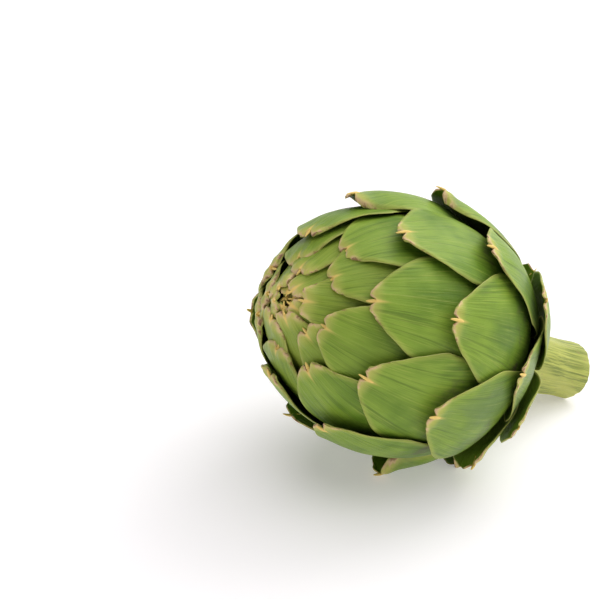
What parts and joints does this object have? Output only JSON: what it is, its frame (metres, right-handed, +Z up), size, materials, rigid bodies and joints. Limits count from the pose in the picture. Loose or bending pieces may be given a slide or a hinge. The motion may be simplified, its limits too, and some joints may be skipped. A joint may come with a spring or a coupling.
{
  "type": "artichoke",
  "caption": "Whole globe artichoke lying on its side: green overlapping bracts in a spiral round a heart, with a short cut stalk.",
  "frame": {"origin": "on the surface the artichoke rests on, under the middle of its outline", "axes": "+X along its length, from the bud's tip towards the cut stalk; +Y to its far side; +Z up"},
  "size_m": [0.1396, 0.1014, 0.0994],
  "materials": {
    "bract": "waxy",
    "young_bract": "waxy",
    "stalk": "fibrous",
    "choke": "bristly"
  },
  "bodies": {
    "root": {"heart_and_stalk": "stalk", "choke": "choke", "innermost_bud": "young_bract", "bract_01": "young_bract", "bract_02": "young_bract", "bract_03": "young_bract", "bract_04": "young_bract", "bract_05": "young_bract", "bract_06": "young_bract", "bract_07": "young_bract", "bract_08": "young_bract", "bract_09": "young_bract", "bract_10": "young_bract", "bract_11": "young_bract", "bract_12": "young_bract", "bract_13": "young_bract", "bract_14": "young_bract", "bract_15": "young_bract", "bract_16": "young_bract", "bract_17": "young_bract", "bract_18": "young_bract", "bract_19": "bract", "bract_20": "bract", "bract_21": "bract", "bract_22": "bract", "bract_23": "bract", "bract_24": "bract", "bract_25": "bract", "bract_26": "bract", "bract_27": "bract", "bract_28": "bract", "bract_29": "bract", "bract_30": "bract", "bract_31": "bract", "bract_32": "bract", "bract_33": "bract", "bract_34": "bract", "bract_35": "bract", "bract_36": "bract", "bract_37": "bract", "bract_38": "bract", "bract_39": "bract", "bract_40": "bract", "bract_41": "bract", "bract_42": "bract", "bract_43": "bract", "bract_44": "bract", "bract_45": "bract", "bract_46": "bract", "bract_47": "bract", "bract_48": "bract", "bract_49": "bract", "bract_50": "bract"}
  },
  "joints": []
}
